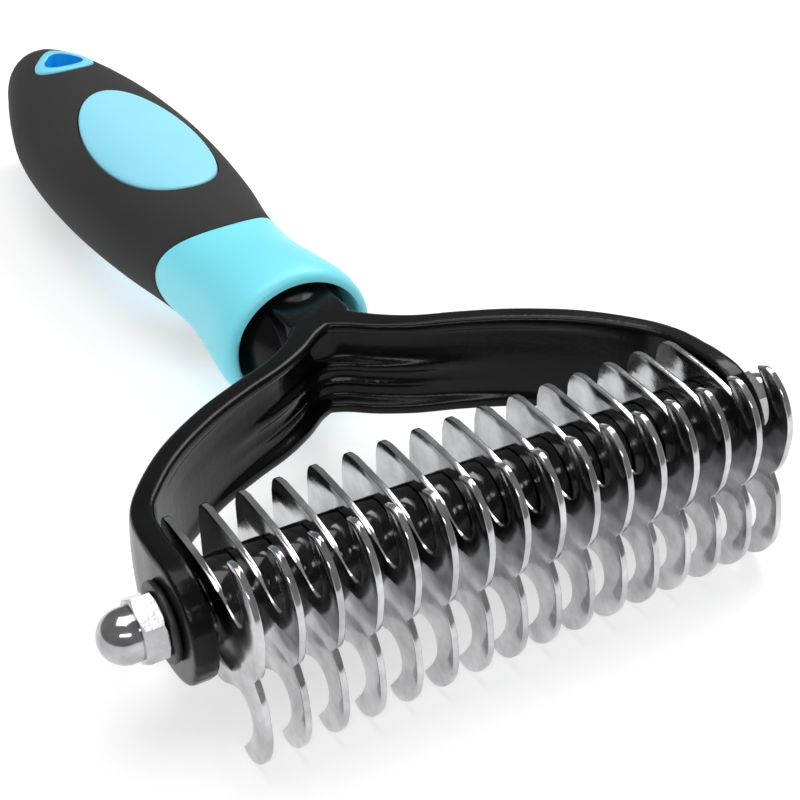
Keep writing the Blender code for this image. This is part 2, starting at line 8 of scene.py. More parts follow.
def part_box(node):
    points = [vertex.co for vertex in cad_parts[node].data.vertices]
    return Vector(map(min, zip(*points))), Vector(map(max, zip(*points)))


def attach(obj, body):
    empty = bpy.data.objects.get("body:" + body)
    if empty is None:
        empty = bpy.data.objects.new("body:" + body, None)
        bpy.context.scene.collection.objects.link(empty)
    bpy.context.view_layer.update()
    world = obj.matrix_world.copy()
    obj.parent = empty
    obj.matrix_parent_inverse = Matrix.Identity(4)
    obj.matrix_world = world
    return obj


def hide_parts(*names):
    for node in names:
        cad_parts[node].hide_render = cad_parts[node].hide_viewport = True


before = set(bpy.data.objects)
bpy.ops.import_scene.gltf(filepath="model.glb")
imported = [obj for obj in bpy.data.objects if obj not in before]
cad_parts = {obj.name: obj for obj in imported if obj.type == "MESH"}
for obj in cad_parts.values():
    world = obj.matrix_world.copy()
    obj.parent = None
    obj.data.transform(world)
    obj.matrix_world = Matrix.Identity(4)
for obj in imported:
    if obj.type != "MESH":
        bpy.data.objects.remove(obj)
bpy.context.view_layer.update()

# Studio: white paper under soft white light. Daylight fills from all round, one soft box stands behind the
# rake's right-hand end and one hangs above it, and a strip light in front puts the bright lines on the steel.
scene = bpy.context.scene
scene.view_settings.view_transform = "Standard"

rod_low, rod_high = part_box("cross_rod")
rod_middle = (rod_low + rod_high) / 2
camera_data = bpy.data.cameras.new("camera")
camera_data.lens = 75.88
camera_data.sensor_width = 36
camera_data.shift_y = -0.0071
camera_data.clip_start = 0.01
camera = bpy.data.objects.new("camera", camera_data)
camera_right = Vector((0.86373, -0.50363, -0.01799))
camera_up = Vector((0.29362, 0.47391, 0.83018))
camera_back = Vector((-0.40958, -0.72234, 0.55720))
camera.rotation_euler = Matrix((camera_right, camera_up, camera_back)).transposed().to_euler()
camera.location = rod_middle + Vector((-0.09186, -0.14479, 0.13232))
scene.collection.objects.link(camera)
scene.camera = camera

world = bpy.data.worlds.new("studio_air")
world.use_nodes = True
world.node_tree.nodes["Background"].inputs["Color"].default_value = (1.0, 1.0, 1.0, 1.0)
world.node_tree.nodes["Background"].inputs["Strength"].default_value = 0.26
scene.world = world


def add_light(name, place, target, size, power, depth=None):
    """A soft box of the given size in metres, aimed at a point."""
    data = bpy.data.lights.new(name, "AREA")
    data.shape = "RECTANGLE"
    data.size = size
    data.size_y = depth or size
    data.energy = power
    lamp = bpy.data.objects.new(name, data)
    lamp.location = place
    lamp.rotation_euler = (Vector(place) - Vector(target)).to_track_quat("Z", "Y").to_euler()
    scene.collection.objects.link(lamp)


add_light("key_box", (0.30, 0.12, 0.42), (0.0, 0.0, 0.01), 0.26, 1.3)
add_light("front_strip", (-0.16, -0.42, 0.34), (0.0, -0.06, 0.01), 0.34, 0.7, 0.05)
add_light("top_box", (-0.05, 0.02, 0.55), (0.0, -0.02, 0.0), 0.36, 1.2)

floor_mesh = bpy.data.meshes.new("floor")
floor_form = bmesh.new()
bmesh.ops.create_grid(floor_form, x_segments=1, y_segments=1, size=3.0)
floor_form.to_mesh(floor_mesh)
floor_form.free()
floor = bpy.data.objects.new("floor", floor_mesh)
floor.location.z = -0.0002
scene.collection.objects.link(floor)
paper = bpy.data.materials.new("white_paper")
paper.use_nodes = True
paper_shader = paper.node_tree.nodes["Principled BSDF"]
paper_shader.inputs["Base Color"].default_value = (0.60, 0.60, 0.60, 1.0)
paper_shader.inputs["Roughness"].default_value = 0.9
paper_shader.inputs["Specular IOR Level"].default_value = 0.1
paper_shader.inputs["Emission Color"].default_value = (1.0, 1.0, 1.0, 1.0)
paper_shader.inputs["Emission Strength"].default_value = 0.56
floor_mesh.materials.append(paper)

# Blades: stamped from 0.9 mm stainless strip, each with a blunt hook above and below. A grinding wheel has cut
# a bevel round the inside of each hook, and tumbling has rounded the other edges. They are strung on the rod.
BLADE_THICKNESS = 0.90
BLADE_EDGE = 0.18
GRIND_CENTER = (-9.6, 8.0)
GRIND_RADIUS = 4.45
GRIND_SLOPE = 0.16
GRIND_CLEARANCE = 0.25
BORE_RADIUS = 2.7
MERGE_DISTANCE = 1e-7
MILLIMETRE = 0.001
blade_half = [
    ("V", -15.0, 0.0), ("A", -16.3, 2.0), ("A", -17.1, 5.4), ("A", -17.15, 8.4), ("A", -16.0, 11.6),
    ("A", -14.0, 13.8), ("A", -11.8, 14.7), ("V", -10.15, 14.2), ("A", -11.25, 12.65), ("A", -12.45, 10.8),
    ("A", -13.2, 8.7), ("A", -12.95, 6.85), ("A", -11.9, 5.7), ("A", -10.5, 5.45), ("A", -8.6, 5.95),
    ("A", -5.6, 7.35), ("A", -2.0, 8.1), ("A", 1.8, 8.3), ("V", 7.0, 8.3), ("A", 9.2, 7.45), ("V", 10.0, 5.3),
]


def outline_curve(name, loops, half_depth, edge, resolution):
    """A flat mesh in XY with rounded rims, from closed loops of (kind, x, y) knots in millimetres."""
    curve = bpy.data.curves.new(name, "CURVE")
    curve.dimensions = "2D"
    curve.fill_mode = "BOTH"
    curve.extrude = (half_depth - edge) * MILLIMETRE
    curve.bevel_depth = edge * MILLIMETRE
    curve.bevel_resolution = 2
    curve.offset = -edge * MILLIMETRE
    for knots in loops:
        spline = curve.splines.new("BEZIER")
        spline.bezier_points.add(len(knots) - 1)
        spline.use_cyclic_u = True
        spline.resolution_u = resolution
        for point, (kind, x, y) in zip(spline.bezier_points, knots):
            point.co = (x * MILLIMETRE, y * MILLIMETRE, 0)
            point.handle_left_type = point.handle_right_type = "VECTOR" if kind == "V" else "AUTO"
    drawn = bpy.data.objects.new(name, curve)
    scene.collection.objects.link(drawn)
    bpy.context.view_layer.update()
    graph = bpy.context.evaluated_depsgraph_get()
    mesh = bpy.data.meshes.new_from_object(drawn.evaluated_get(graph))
    bpy.data.objects.remove(drawn)
    form = bmesh.new()
    form.from_mesh(mesh)
    bmesh.ops.remove_doubles(form, verts=form.verts, dist=MERGE_DISTANCE)
    bmesh.ops.recalc_face_normals(form, faces=form.faces)
    form.to_mesh(mesh)
    form.free()
    return mesh


def ring_knots(radius, count=12):
    """Knots of a round hole."""
    return [("A", radius * math.cos(math.tau * step / count), radius * math.sin(math.tau * step / count))
            for step in range(count)]


def place_on_rod(mesh, x=0.0):
    """Moves a mesh made at the origin to its place along the rod, and hands it back."""
    mesh.transform(Matrix.Translation((x, rod_middle.y, rod_middle.z)))
    return mesh


def finish_mesh(name, mesh, material, angle):
    """A shown object from a mesh that is already in its place, with edges past the angle kept sharp."""
    mesh.name = name
    mesh.materials.clear()
    mesh.materials.append(material)
    mesh.shade_smooth()
    mesh.set_sharp_from_angle(angle=math.radians(angle))
    item = bpy.data.objects.new(name, mesh)
    scene.collection.objects.link(item)
    return item


def cut(mesh, cutter_mesh, operation="DIFFERENCE"):
    """One boolean between two closed meshes, as a new mesh."""
    body = bpy.data.objects.new("body", mesh)
    tool = bpy.data.objects.new("tool", cutter_mesh)
    for item in (body, tool):
        scene.collection.objects.link(item)
    modifier = body.modifiers.new("cut", "BOOLEAN")
    modifier.object = tool
    modifier.operation = operation
    modifier.solver = "EXACT"
    bpy.context.view_layer.update()
    graph = bpy.context.evaluated_depsgraph_get()
    result = bpy.data.meshes.new_from_object(body.evaluated_get(graph))
    bpy.data.objects.remove(body)
    bpy.data.objects.remove(tool)
    return result


def grinding_wheels(side):
    """Two shallow cones, over the upper and the lower hook, on one side of a blade."""
    depth = GRIND_RADIUS * GRIND_SLOPE
    above = GRIND_CLEARANCE
    form = bmesh.new()
    for y, z in (GRIND_CENTER, (GRIND_CENTER[0], -GRIND_CENTER[1])):
        base = (GRIND_RADIUS + above / GRIND_SLOPE) * MILLIMETRE
        length = (depth + above) * MILLIMETRE
        middle = side * (BLADE_THICKNESS / 2 + above - (depth + above) / 2) * MILLIMETRE
        place = Matrix.Translation((middle, y * MILLIMETRE, z * MILLIMETRE))
        turn = Matrix.Rotation(math.radians(90 * side), 4, "Y")
        bmesh.ops.create_cone(form, cap_ends=True, segments=64, radius1=1e-5, radius2=base, depth=length,
                              matrix=place @ turn)
    mesh = bpy.data.meshes.new("grinding_wheels")
    form.to_mesh(mesh)
    form.free()
    return mesh


def new_group(name, inputs, outputs):
    """A shader node group with named number inputs and outputs, and its two end nodes."""
    group = bpy.data.node_groups.new(name, "ShaderNodeTree")
    for label, value in inputs:
        socket = group.interface.new_socket(label, in_out="INPUT", socket_type="NodeSocketFloat")
        socket.default_value = value
    for label in outputs:
        group.interface.new_socket(label, in_out="OUTPUT", socket_type="NodeSocketFloat")
    return group, group.nodes.new("NodeGroupInput"), group.nodes.new("NodeGroupOutput")


def chain(tree, kind, settings=None, **links):
    """A node with its settings, and its inputs set to numbers or linked to sockets."""
    node = tree.nodes.new(kind)
    for key, value in (settings or {}).items():
        setattr(node, key, value)
    for key, value in links.items():
        socket = node.inputs[int(key[1:])] if key[1:].isdigit() else node.inputs[key.replace("_", " ")]
        if isinstance(value, bpy.types.NodeSocket):
            tree.links.new(value, socket)
        else:
            socket.default_value = value
    return node


# Patches of slightly different polish, and a fine relief, on any finish.
surface_life, life_in, life_out = new_group(
    "surface_life", (("Patch Scale", 60.0), ("Grain Scale", 900.0)), ("Patches", "Grain"))
life_place = chain(surface_life, "ShaderNodeTexCoord")
life_patches = chain(surface_life, "ShaderNodeTexNoise", Vector=life_place.outputs["Object"],
                     Scale=life_in.outputs["Patch Scale"], Detail=4.0, Roughness=0.6)
life_grain = chain(surface_life, "ShaderNodeTexNoise", Vector=life_place.outputs["Object"],
                   Scale=life_in.outputs["Grain Scale"], Detail=2.0, Roughness=0.5)
surface_life.links.new(life_patches.outputs["Fac"], life_out.inputs["Patches"])
surface_life.links.new(life_grain.outputs["Fac"], life_out.inputs["Grain"])
PATCH_RANGE = (0.35, 0.65)


def finish_material(name, dark, light, rough, grain_depth, patch_scale=60.0, grain_scale=900.0, metallic=0.0,
                    **fixed):
    """A Principled finish whose colour and gloss wander between two values, with a fine relief."""
    material = bpy.data.materials.new(name)
    material.use_nodes = True
    tree = material.node_tree
    shader = tree.nodes["Principled BSDF"]
    shader.inputs["Metallic"].default_value = metallic
    for key, value in fixed.items():
        shader.inputs[key.replace("_", " ")].default_value = value
    life = chain(tree, "ShaderNodeGroup", {"node_tree": surface_life}, Patch_Scale=patch_scale,
                 Grain_Scale=grain_scale)
    low, high = PATCH_RANGE
    spread = chain(tree, "ShaderNodeMapRange", _0=life.outputs["Patches"], _1=low, _2=high)
    color = chain(tree, "ShaderNodeMix", {"data_type": "RGBA"},
                  _0=spread.outputs[0], _6=(*dark, 1.0), _7=(*light, 1.0))
    polish = chain(tree, "ShaderNodeMapRange", _0=life.outputs["Patches"], _1=low, _2=high,
                   _3=rough[0], _4=rough[1])
    relief = chain(tree, "ShaderNodeBump", Height=life.outputs["Grain"], Distance=grain_depth * MILLIMETRE,
                   Strength=1.0)
    tree.links.new(color.outputs[2], shader.inputs["Base Color"])
    tree.links.new(polish.outputs[0], shader.inputs["Roughness"])
    tree.links.new(relief.outputs["Normal"], shader.inputs["Normal"])
    return material


blade_steel = finish_material("blade_steel", (0.40, 0.40, 0.41), (0.66, 0.66, 0.67), (0.10, 0.20), 0.008,
                              patch_scale=170.0, grain_scale=1500.0, metallic=1.0)
blade_loop = blade_half + [(kind, y, -z) for kind, y, z in reversed(blade_half[1:])]
blade_loops = [blade_loop, ring_knots(BORE_RADIUS)]
blade_plate = outline_curve("blade", blade_loops, BLADE_THICKNESS / 2, BLADE_EDGE, 5)
stand_up = Matrix(((0, 0, 1, 0), (1, 0, 0, 0), (0, 1, 0, 0), (0, 0, 0, 1)))
blade_plate.transform(stand_up)
for side in (-1, 1):
    blade_plate = cut(blade_plate, grinding_wheels(side))
blade_nodes = sorted(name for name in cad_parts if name.startswith("blade_"))
for node in blade_nodes:
    low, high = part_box(node)
    mesh = place_on_rod(blade_plate.copy(), (low.x + high.x) / 2)
    blade = finish_mesh("hooked_" + node, mesh, blade_steel, 32)
    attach(blade, "frame")
    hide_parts(node)

# Spacers and end rings: gloss black moulded tubes that part the blades, with softened rims. Together they look
# like one thick black shaft between the blades. They are strung on the rod and clamped by the nuts.
SPACER_EDGE = 0.06
SHARP_ANGLE = math.radians(30)


def turned(profile, steps, round_edge=0.0):
    """A solid turned about X from a closed profile of (x, radius) in millimetres, its sharp edges rounded."""
    form = bmesh.new()
    verts = [form.verts.new((x * MILLIMETRE, radius * MILLIMETRE, 0)) for x, radius in profile]
    touches_axis = profile[0][1] == 0 and profile[-1][1] == 0
    ends = verts[1:] if touches_axis else verts[1:] + verts[:1]
    edges = [form.edges.new(pair) for pair in zip(verts, ends)]
    bmesh.ops.spin(form, geom=edges, cent=(0, 0, 0), axis=(1, 0, 0), angle=math.tau, steps=steps,
                   use_merge=True)
    bmesh.ops.remove_doubles(form, verts=form.verts, dist=MERGE_DISTANCE)
    bmesh.ops.dissolve_degenerate(form, dist=MERGE_DISTANCE, edges=form.edges)
    bmesh.ops.recalc_face_normals(form, faces=form.faces)
    if round_edge:
        sharp = [edge for edge in form.edges if edge.is_manifold and edge.calc_face_angle() > SHARP_ANGLE]
        bmesh.ops.bevel(form, geom=sharp, offset=round_edge * MILLIMETRE, segments=2, profile=0.5,
                        affect="EDGES", material=-1)
    mesh = bpy.data.meshes.new("turned")
    form.to_mesh(mesh)
    form.free()
    return mesh


def tube(half_length, radius, steps, round_edge):
    """A short tube about X that slips over the rod."""
    profile = [(-half_length, BORE_RADIUS), (-half_length, radius),
               (half_length, radius), (half_length, BORE_RADIUS)]
    return turned(profile, steps, round_edge)


spacer_black = finish_material("spacer_black", (0.002, 0.002, 0.002), (0.007, 0.007, 0.007), (0.07, 0.16),
                               0.045, patch_scale=260.0, grain_scale=430.0)
ring_nodes = sorted(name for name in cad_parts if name.startswith(("spacer_", "end_ring_")))
for node in ring_nodes:
    low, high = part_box(node)
    half = (high.x - low.x) / 2 / MILLIMETRE
    radius = (high.z - low.z) / 2 / MILLIMETRE
    mesh = place_on_rod(tube(half, radius, 64, SPACER_EDGE), (low.x + high.x) / 2)
    ring = finish_mesh("turned_" + node, mesh, spacer_black, 40)
    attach(ring, "frame")
    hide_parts(node)

# Cross rod: a zinc plated steel rod that the nuts screw on to. It shows in the thin slots between the strung
# pieces, and at its ends when the nuts are turned out.
rod_zinc = finish_material("rod_zinc", (0.40, 0.41, 0.42), (0.58, 0.58, 0.60), (0.30, 0.45), 0.020,
                           metallic=1.0)
cross_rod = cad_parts["cross_rod"]
cross_rod.data.materials.clear()
cross_rod.data.materials.append(rod_zinc)

# Washers and cap nuts: a black washer seats each chromed cap nut. The nut is forged in one piece, a chamfered
# hexagon under a polished dome, and screws on to the rod's end.
NUT_FLATS = 8.0
NUT_HEX = 3.0
NUT_TURN = 24.0
NUT_DOME = 3.5
NUT_TOP_WALL = 2.0
NUT_EDGE = 0.12
NUT_SHARP = 28
CHAMFER_RUN = 0.42
WASHER_RADIUS = 5.2
WASHER_EDGE = 0.2
washer_black = finish_material("washer_black", (0.010, 0.010, 0.010), (0.022, 0.022, 0.022), (0.38, 0.55),
                               0.012, grain_scale=1400.0)
nut_chrome = finish_material("nut_chrome", (0.34, 0.34, 0.35), (0.52, 0.52, 0.53), (0.08, 0.18), 0.010,
                             patch_scale=240.0, grain_scale=1100.0, metallic=1.0)


def cap_nut_mesh(height):
    """A cap nut with its seat at x = 0 and its dome towards +X."""
    corner = NUT_FLATS / 2 / math.cos(math.pi / 6)
    outside = corner + 0.10
    form = bmesh.new()
    place = Matrix.Translation((NUT_HEX / 2 * MILLIMETRE, 0, 0))
    turn = Matrix.Rotation(math.radians(NUT_TURN), 4, "X") @ Matrix.Rotation(math.radians(90), 4, "Y")
    bmesh.ops.create_cone(form, cap_ends=True, segments=6, radius1=corner * MILLIMETRE,
                          radius2=corner * MILLIMETRE, depth=NUT_HEX * MILLIMETRE, matrix=place @ turn)
    hexagon = bpy.data.meshes.new("hexagon")
    form.to_mesh(hexagon)
    form.free()
    chamfered = turned([(-0.1, 0), (-0.1, corner - 0.75), (CHAMFER_RUN, outside),
                        (NUT_HEX - CHAMFER_RUN, outside), (NUT_HEX + 0.1, corner - 0.85),
                        (NUT_HEX + 0.1, 0)], 96)
    body = cut(hexagon, chamfered, "INTERSECT")
    middle = height - NUT_DOME
    arc = [(middle + NUT_DOME * math.sin(math.radians(angle)), NUT_DOME * math.cos(math.radians(angle)))
           for angle in range(0, 90, 9)]
    capped = turned([(NUT_HEX - 0.5, 0), (NUT_HEX - 0.5, NUT_DOME)] + arc + [(height, 0)], 96)
    body = cut(body, capped, "UNION")
    bore_end = height - NUT_TOP_WALL
    bore = turned([(-0.5, 0), (-0.5, BORE_RADIUS), (bore_end, BORE_RADIUS), (bore_end, 0)], 64)
    return cut(body, bore)


def mirror_in_x(mesh):
    """Turns a mesh into its mirror image, with its faces still pointing out."""
    form = bmesh.new()
    form.from_mesh(mesh)
    bmesh.ops.scale(form, vec=(-1, 1, 1), verts=form.verts)
    bmesh.ops.recalc_face_normals(form, faces=form.faces)
    form.to_mesh(mesh)
    form.free()


for side, name in ((-1, "left"), (1, "right")):
    low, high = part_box("washer_" + name)
    half = (high.x - low.x) / 2 / MILLIMETRE
    mesh = place_on_rod(tube(half, WASHER_RADIUS, 96, WASHER_EDGE), (low.x + high.x) / 2)
    washer = finish_mesh("black_washer_" + name, mesh, washer_black, 40)
    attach(washer, name + "_washer")
    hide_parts("washer_" + name)
    low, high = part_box("cap_nut_" + name)
    mesh = cap_nut_mesh((high.x - low.x) / MILLIMETRE)
    if side < 0:
        mirror_in_x(mesh)
    place_on_rod(mesh, low.x if side > 0 else high.x)
    nut = finish_mesh("chrome_nut_" + name, mesh, nut_chrome, NUT_SHARP)
    soften = nut.modifiers.new("soft_edges", "BEVEL")
    soften.width = NUT_EDGE * MILLIMETRE
    soften.segments = 2
    soften.limit_method = "ANGLE"
    soften.angle_limit = math.radians(NUT_SHARP)
    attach(nut, name + "_nut")
    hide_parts("cap_nut_" + name)

# Yoke: one casting in black enamel. Two arms sweep back from the rod's bosses to a neck. Their inner side has
# flat rims above and below, and between them a hollow that deepens towards the middle, with two ribs in it.
ARM_INNER = 38.9
ARM_WALL = 3.2
BOW_DEPTH = 37.4
BOW_WALL = 5.1
RIM = 7.75
RIM_ROUND = 0.5
RIM_SHOULDER = 0.14
BOSS = 8.4
BOSS_ANGLES = (84, 70, 58, 46, 34, 22, 11)
HOLLOW_DEPTH = 1.9
RIB_HEIGHT = 1.3
ARM_BULGE = 0.7
WEB_HALF_HEIGHT = 7.73
YOKE_VOXEL = 0.34


def smooth_path(points, steps):
    """Catmull-Rom curve through the points, with the given number of steps between each pair."""
    padded = [points[0] * 2 - points[1], *points, points[-1] * 2 - points[-2]]
    path = []
    for before, start, end, after in zip(padded, padded[1:], padded[2:], padded[3:]):
        for step in range(steps):
            t = step / steps
            path.append(0.5 * (2 * start + (end - before) * t
                               + (2 * before - 5 * start + 4 * end - after) * t ** 2
                               + (3 * start - before - 3 * end + after) * t ** 3))
    path.append(points[-1].copy())
    return path


def ease(start, end, value):
    """0 at start and below, 1 at end and above, smooth between them."""
    t = min(1.0, max(0.0, (value - start) / (end - start)))
    return t * t * (3 - 2 * t)


def loft(rings, closed=False):
    """A skin through rings of points in millimetres: capped, or closed on itself from last ring to first."""
    form = bmesh.new()
    bmesh.ops.create_circle(form, cap_ends=False, radius=1.0, segments=len(rings[0]))
    verts = form.verts[:]
    edges = form.edges[:]
    first = verts
    for vert, point in zip(verts, rings[0]):
        vert.co = point * MILLIMETRE
    for ring in rings[1:]:
        grown = bmesh.ops.extrude_edge_only(form, edges=edges)["geom"]
        new_verts = {item for item in grown if isinstance(item, bmesh.types.BMVert)}
        edges = [item for item in grown if isinstance(item, bmesh.types.BMEdge)
                 and all(vert in new_verts for vert in item.verts)]
        verts = [next(edge.other_vert(vert) for edge in vert.link_edges if edge.other_vert(vert) in new_verts)
                 for vert in verts]
        for vert, point in zip(verts, ring):
            vert.co = point * MILLIMETRE
    if closed:
        bmesh.ops.weld_verts(form, targetmap=dict(zip(verts, first)))
    else:
        bmesh.ops.holes_fill(form, edges=form.edges, sides=0)
    bmesh.ops.recalc_face_normals(form, faces=form.faces)
    mesh = bpy.data.meshes.new("loft")
    form.to_mesh(mesh)
    form.free()
    return mesh


def bow_edges():
    """Matching points of the bow's inner and outer edges, from the right-hand boss to the middle."""
    inside = [(1.0, 0.0), (1.0, 0.134), (0.981, 0.283), (0.918, 0.39), (0.785, 0.535), (0.604, 0.665),
              (0.424, 0.757), (0.270, 0.823), (0.141, 0.900), (0.057, 0.968), (0.0, 1.0)]
    leans = [(1.0, 0.0), (1.0, 0.0), (0.97, 0.18), (0.83, 0.52), (0.62, 0.78), (0.47, 0.88), (0.44, 0.90),
             (0.44, 0.92), (0.60, 1.0), (0.60, 1.25), (0.0, BOW_WALL / ARM_WALL)]
    near = [Vector((x * ARM_INNER, y * BOW_DEPTH)) for x, y in inside]
    far = [point + Vector(lean) * ARM_WALL for point, lean in zip(near, leans)]
    return smooth_path(near, 5), smooth_path(far, 5)


def bow_section(near, far, half_height, channel, rib, bulge):
    """Closed section of the bow, from the inner top corner round the outside and back up the hollow."""
    across = (far - near).normalized()
    scale = half_height / RIM

    def at(edge, offset, z):
        place = edge + across * offset
        return Vector((place.x, place.y, z * scale))

    side = RIM - RIM_ROUND
    corner = RIM - RIM_SHOULDER
    points = [at(near, RIM_ROUND, RIM), at(far, -RIM_ROUND, RIM), at(far, -RIM_SHOULDER, corner),
              at(far, 0.0, side)]
    for share in (0.75, 0.55, 0.3, 0.0, -0.3, -0.55, -0.75):
        points.append(at(far, bulge * (1 - share ** 2), share * RIM))
    points += [at(far, 0.0, -side), at(far, -RIM_SHOULDER, -corner), at(far, -RIM_ROUND, -RIM)]
    points += [at(near, RIM_ROUND, -RIM), at(near, RIM_SHOULDER, -corner), at(near, 0.0, -side)]
    points += [at(near, 0.0, 1.5 - RIM)]
    points += [at(near, 0.35 * channel, 1.9 - RIM), at(near, channel, 2.4 - RIM), at(near, channel, -3.6)]
    points += [at(near, channel - 0.6 * rib, -3.0), at(near, channel, -2.4), at(near, channel, -1.1)]
    points += [at(near, channel - rib, -0.45), at(near, channel - rib, 0.45), at(near, channel, 1.1)]
    points += [at(near, 1.25 * channel, 3.0), at(near, 1.25 * channel, RIM - 2.2)]
    points += [at(near, 0.35 * channel, RIM - 1.8), at(near, 0.0, RIM - 1.5), at(near, 0.0, side)]
    points += [at(near, RIM_SHOULDER, corner)]
    return points


near_edge, far_edge = bow_edges()
sections = []
for angle in BOSS_ANGLES:
    drop = BOSS * math.sin(math.radians(angle))
    sections.append(bow_section(Vector((ARM_INNER, -drop)), Vector((ARM_INNER + ARM_WALL, -drop)),
                                BOSS * math.cos(math.radians(angle)), 0, 0, 0))
for index, (near, far) in enumerate(zip(near_edge, far_edge)):
    share = index / (len(near_edge) - 1)
    sections.append(bow_section(near, far, BOSS + (RIM - BOSS) * ease(0.0, 0.25, share),
                                HOLLOW_DEPTH * ease(0.25, 0.9, share), RIB_HEIGHT * ease(0.5, 0.9, share),
                                ARM_BULGE * ease(0.12, 0.3, share) * (1 - ease(0.75, 0.95, share))))
mirrored = [[Vector((-point.x, point.y, point.z)) for point in section]
            for section in reversed(sections[:-1])]
bow_mesh = loft(sections + mirrored)
rod_hole = turned([(-50, 0), (-50, BORE_RADIUS), (50, BORE_RADIUS), (50, 0)], 64)
bow_mesh = cut(bow_mesh, rod_hole)


neck_mesh = turned([(39.4, 0), (39.4, 3.4), (41.9, 5.8), (44.6, 7.5), (47.8, 8.9), (50.9, 9.6),
                    (54.5, 9.6), (54.5, 5.0), (96.5, 5.0), (96.5, 0)], 96)
neck_mesh.transform(Matrix.Rotation(math.radians(90), 4, "Z"))
web_outline = [(-1.5, 38.9), (1.5, 38.9), (5.0, 40.4), (5.0, 49.8), (-5.0, 49.8), (-5.0, 40.4)]
web_mesh = loft([[Vector((x, y, z)) for x, y in web_outline] for z in (-WEB_HALF_HEIGHT, WEB_HALF_HEIGHT)])
casting = bmesh.new()
for mesh in (bow_mesh, neck_mesh, web_mesh):
    casting.from_mesh(mesh)
casting_mesh = bpy.data.meshes.new("cast_yoke")
casting.to_mesh(casting_mesh)
casting.free()
rough_yoke = bpy.data.objects.new("rough_yoke", casting_mesh)
scene.collection.objects.link(rough_yoke)
fuse = rough_yoke.modifiers.new("fuse", "REMESH")
fuse.mode = "VOXEL"
fuse.voxel_size = YOKE_VOXEL * MILLIMETRE
settle = rough_yoke.modifiers.new("settle", "SMOOTH")
settle.factor = 0.5
settle.iterations = 3
bpy.context.view_layer.update()
yoke_mesh = bpy.data.meshes.new_from_object(rough_yoke.evaluated_get(bpy.context.evaluated_depsgraph_get()))
bpy.data.objects.remove(rough_yoke)
place_on_rod(yoke_mesh)
enamel = finish_material("black_enamel", (0.0015, 0.0015, 0.0015), (0.004, 0.004, 0.004), (0.18, 0.28), 0.026,
                         patch_scale=45.0, grain_scale=1500.0, Specular_IOR_Level=0.20)
yoke = finish_mesh("cast_yoke", yoke_mesh, enamel, 60)
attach(yoke, "frame")
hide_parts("yoke")

# Collar: the light blue front of the handle, slipped over the core. It flares to a soft lip round the yoke's
# neck, and its joint with the grip arches forward above and below. Its skin runs on into the grip's.
COLLAR_START = 46.5
COLLAR_END = 75.5
HANDLE_END = 160.5
JOINT_BOW = 7.2
JOINT_GAP = 0.3
JOINT_INSETS = (0.15, 0.6, 2.6)
MOUTH_RADIUS = 9.95
MOUTH_FLOOR = 54.2
SOCKET_RADIUS = 7.0
HANDLE_KNOTS = [
    (0.0, 11.77, 10.98), (0.030, 12.2, 11.47), (0.090, 11.41, 10.86), (0.165, 10.6, 9.86),
    (0.255, 10.92, 10.34), (0.370, 13.26, 10.89), (0.500, 14.60, 11.9), (0.620, 14.9, 11.9),
    (0.740, 13.86, 11.60), (0.840, 11.18, 11.07), (0.920, 8.34, 9.40), (0.970, 5.96, 6.78),
    (1.0, 1.19, 0.95),
]
RING_STEPS = 64


def handle_size(along):
    """Half width and half height of the handle at a distance behind the rod, smoothly between its knots."""
    share = min(1.0, max(0.0, (along - COLLAR_START) / (HANDLE_END - COLLAR_START)))
    knots = [Vector(knot) for knot in HANDLE_KNOTS]
    padded = [knots[0] * 2 - knots[1], *knots, knots[-1] * 2 - knots[-2]]
    for before, start, end, after in zip(padded, padded[1:], padded[2:], padded[3:]):
        if share <= end.x:
            span = end.x - start.x
            t = (share - start.x) / span
            rise = (end - before) / (end.x - before.x) * span
            fall = (after - start) / (after.x - start.x) * span
            value = ((2 * t ** 3 - 3 * t ** 2 + 1) * start + (t ** 3 - 2 * t ** 2 + t) * rise
                     + (3 * t ** 2 - 2 * t ** 3) * end + (t ** 3 - t ** 2) * fall)
            return value.y, value.z
    return knots[-1].y, knots[-1].z


def handle_ring(along, inset=0.0, bow=0.0):
    """An oval ring on the handle's skin or inset from it, bowed forward above and below."""
    ring = []
    for step in range(RING_STEPS):
        angle = math.tau * step / RING_STEPS
        place = along - bow * math.sin(angle) ** 2
        width, height = handle_size(place)
        ring.append(Vector(((width - inset) * math.cos(angle), place, (height - inset) * math.sin(angle))))
    return ring


def plain_ring(along, radius):
    """A round ring about the handle's axis."""
    return [Vector((radius * math.cos(math.tau * step / RING_STEPS), along,
                    radius * math.sin(math.tau * step / RING_STEPS))) for step in range(RING_STEPS)]


collar_blue = finish_material("collar_blue", (0.22, 0.84, 1.0), (0.24, 0.87, 1.0), (0.36, 0.44), 0.006,
                              patch_scale=35.0, grain_scale=1600.0)
collar_length = COLLAR_END - COLLAR_START
collar_rings = [plain_ring(MOUTH_FLOOR, MOUTH_RADIUS), plain_ring(47.4, MOUTH_RADIUS)]
collar_rings += [plain_ring(46.75, MOUTH_RADIUS + 0.15)]
collar_rings += [handle_ring(along, inset) for along, inset in ((46.5, 1.3), (46.62, 0.75), (46.95, 0.3))]
collar_rings += [handle_ring(COLLAR_START + collar_length * share, 0.0, JOINT_BOW * ease(0.1, 1.0, share))
                 for share in [0.035] + [step / 28 for step in range(2, 28)] + [0.995]]
collar_rings += [handle_ring(COLLAR_END, inset, JOINT_BOW) for inset in JOINT_INSETS]
collar_rings += [plain_ring(60.0, SOCKET_RADIUS)]
collar = finish_mesh("blue_collar", place_on_rod(loft(collar_rings, closed=True)), collar_blue, 50)
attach(collar, "frame")
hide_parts("handle_collar")

